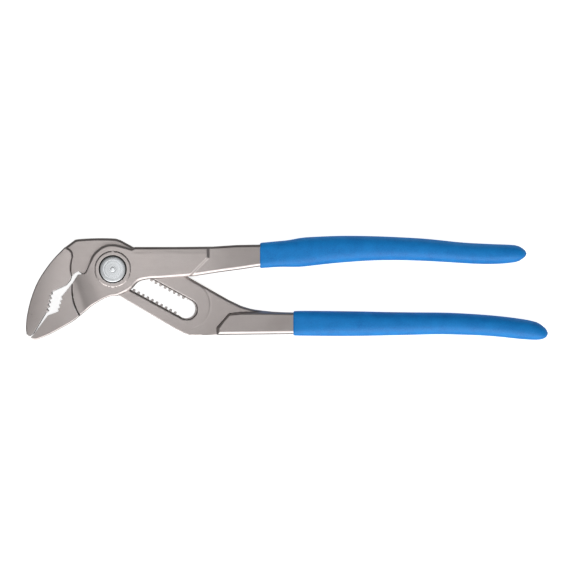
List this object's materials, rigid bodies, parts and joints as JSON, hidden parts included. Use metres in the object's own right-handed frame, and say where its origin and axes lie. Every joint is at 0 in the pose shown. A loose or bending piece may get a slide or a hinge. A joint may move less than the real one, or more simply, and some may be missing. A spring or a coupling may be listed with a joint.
{
  "type": "tongue and groove pliers",
  "caption": "Push-button tongue and groove pliers with toothed offset jaws, a slotted sliding lever and dipped grips, for gripping pipes and nuts.",
  "frame": {"origin": "on the pivot axis, at the rear face of the joint that the tool rests on", "axes": "+X along the handles away from the jaws, +Y across the handles towards the box lever's grip, +Z along the pivot axis out of the button"},
  "size_m": [0.261, 0.0522, 0.014],
  "materials": {
    "forged_steel": "satin, blasted and lightly brushed",
    "bright_steel": "turned, bright",
    "spring_steel": "drawn wire",
    "blue_dip": "satin dipped vinyl"
  },
  "bodies": {
    "box_lever": {"box_lever": "forged_steel", "closure_cap": "forged_steel", "upper_grip": "blue_dip"},
    "joint_seat": {"spring_washer": "bright_steel", "bolt_spring": "spring_steel"},
    "bolt": {"joint_bolt": "bright_steel", "retaining_ring": "bright_steel", "push_button": "bright_steel"},
    "slot_lever": {"slot_lever": "forged_steel", "lower_grip": "blue_dip"}
  },
  "joints": [
    {"name": "handle_pivot", "type": "hinge", "parent": "box_lever", "child": "joint_seat", "pos_m": [0, 0, 0], "axis": [0, 0, -1], "range_deg": [0, 40]},
    {"name": "jaw_adjust", "type": "slide", "parent": "joint_seat", "child": "slot_lever", "axis": [-0.8788, 0.4772, 0], "range_m": [0, 0.0312]},
    {"name": "button_press", "type": "slide", "parent": "joint_seat", "child": "bolt", "axis": [0, 0, -1], "range_m": [0, 0.0019], "stiffness_N_per_m": 2500, "springref_m": -0.003, "deforming": ["bolt_spring"]}
  ]
}
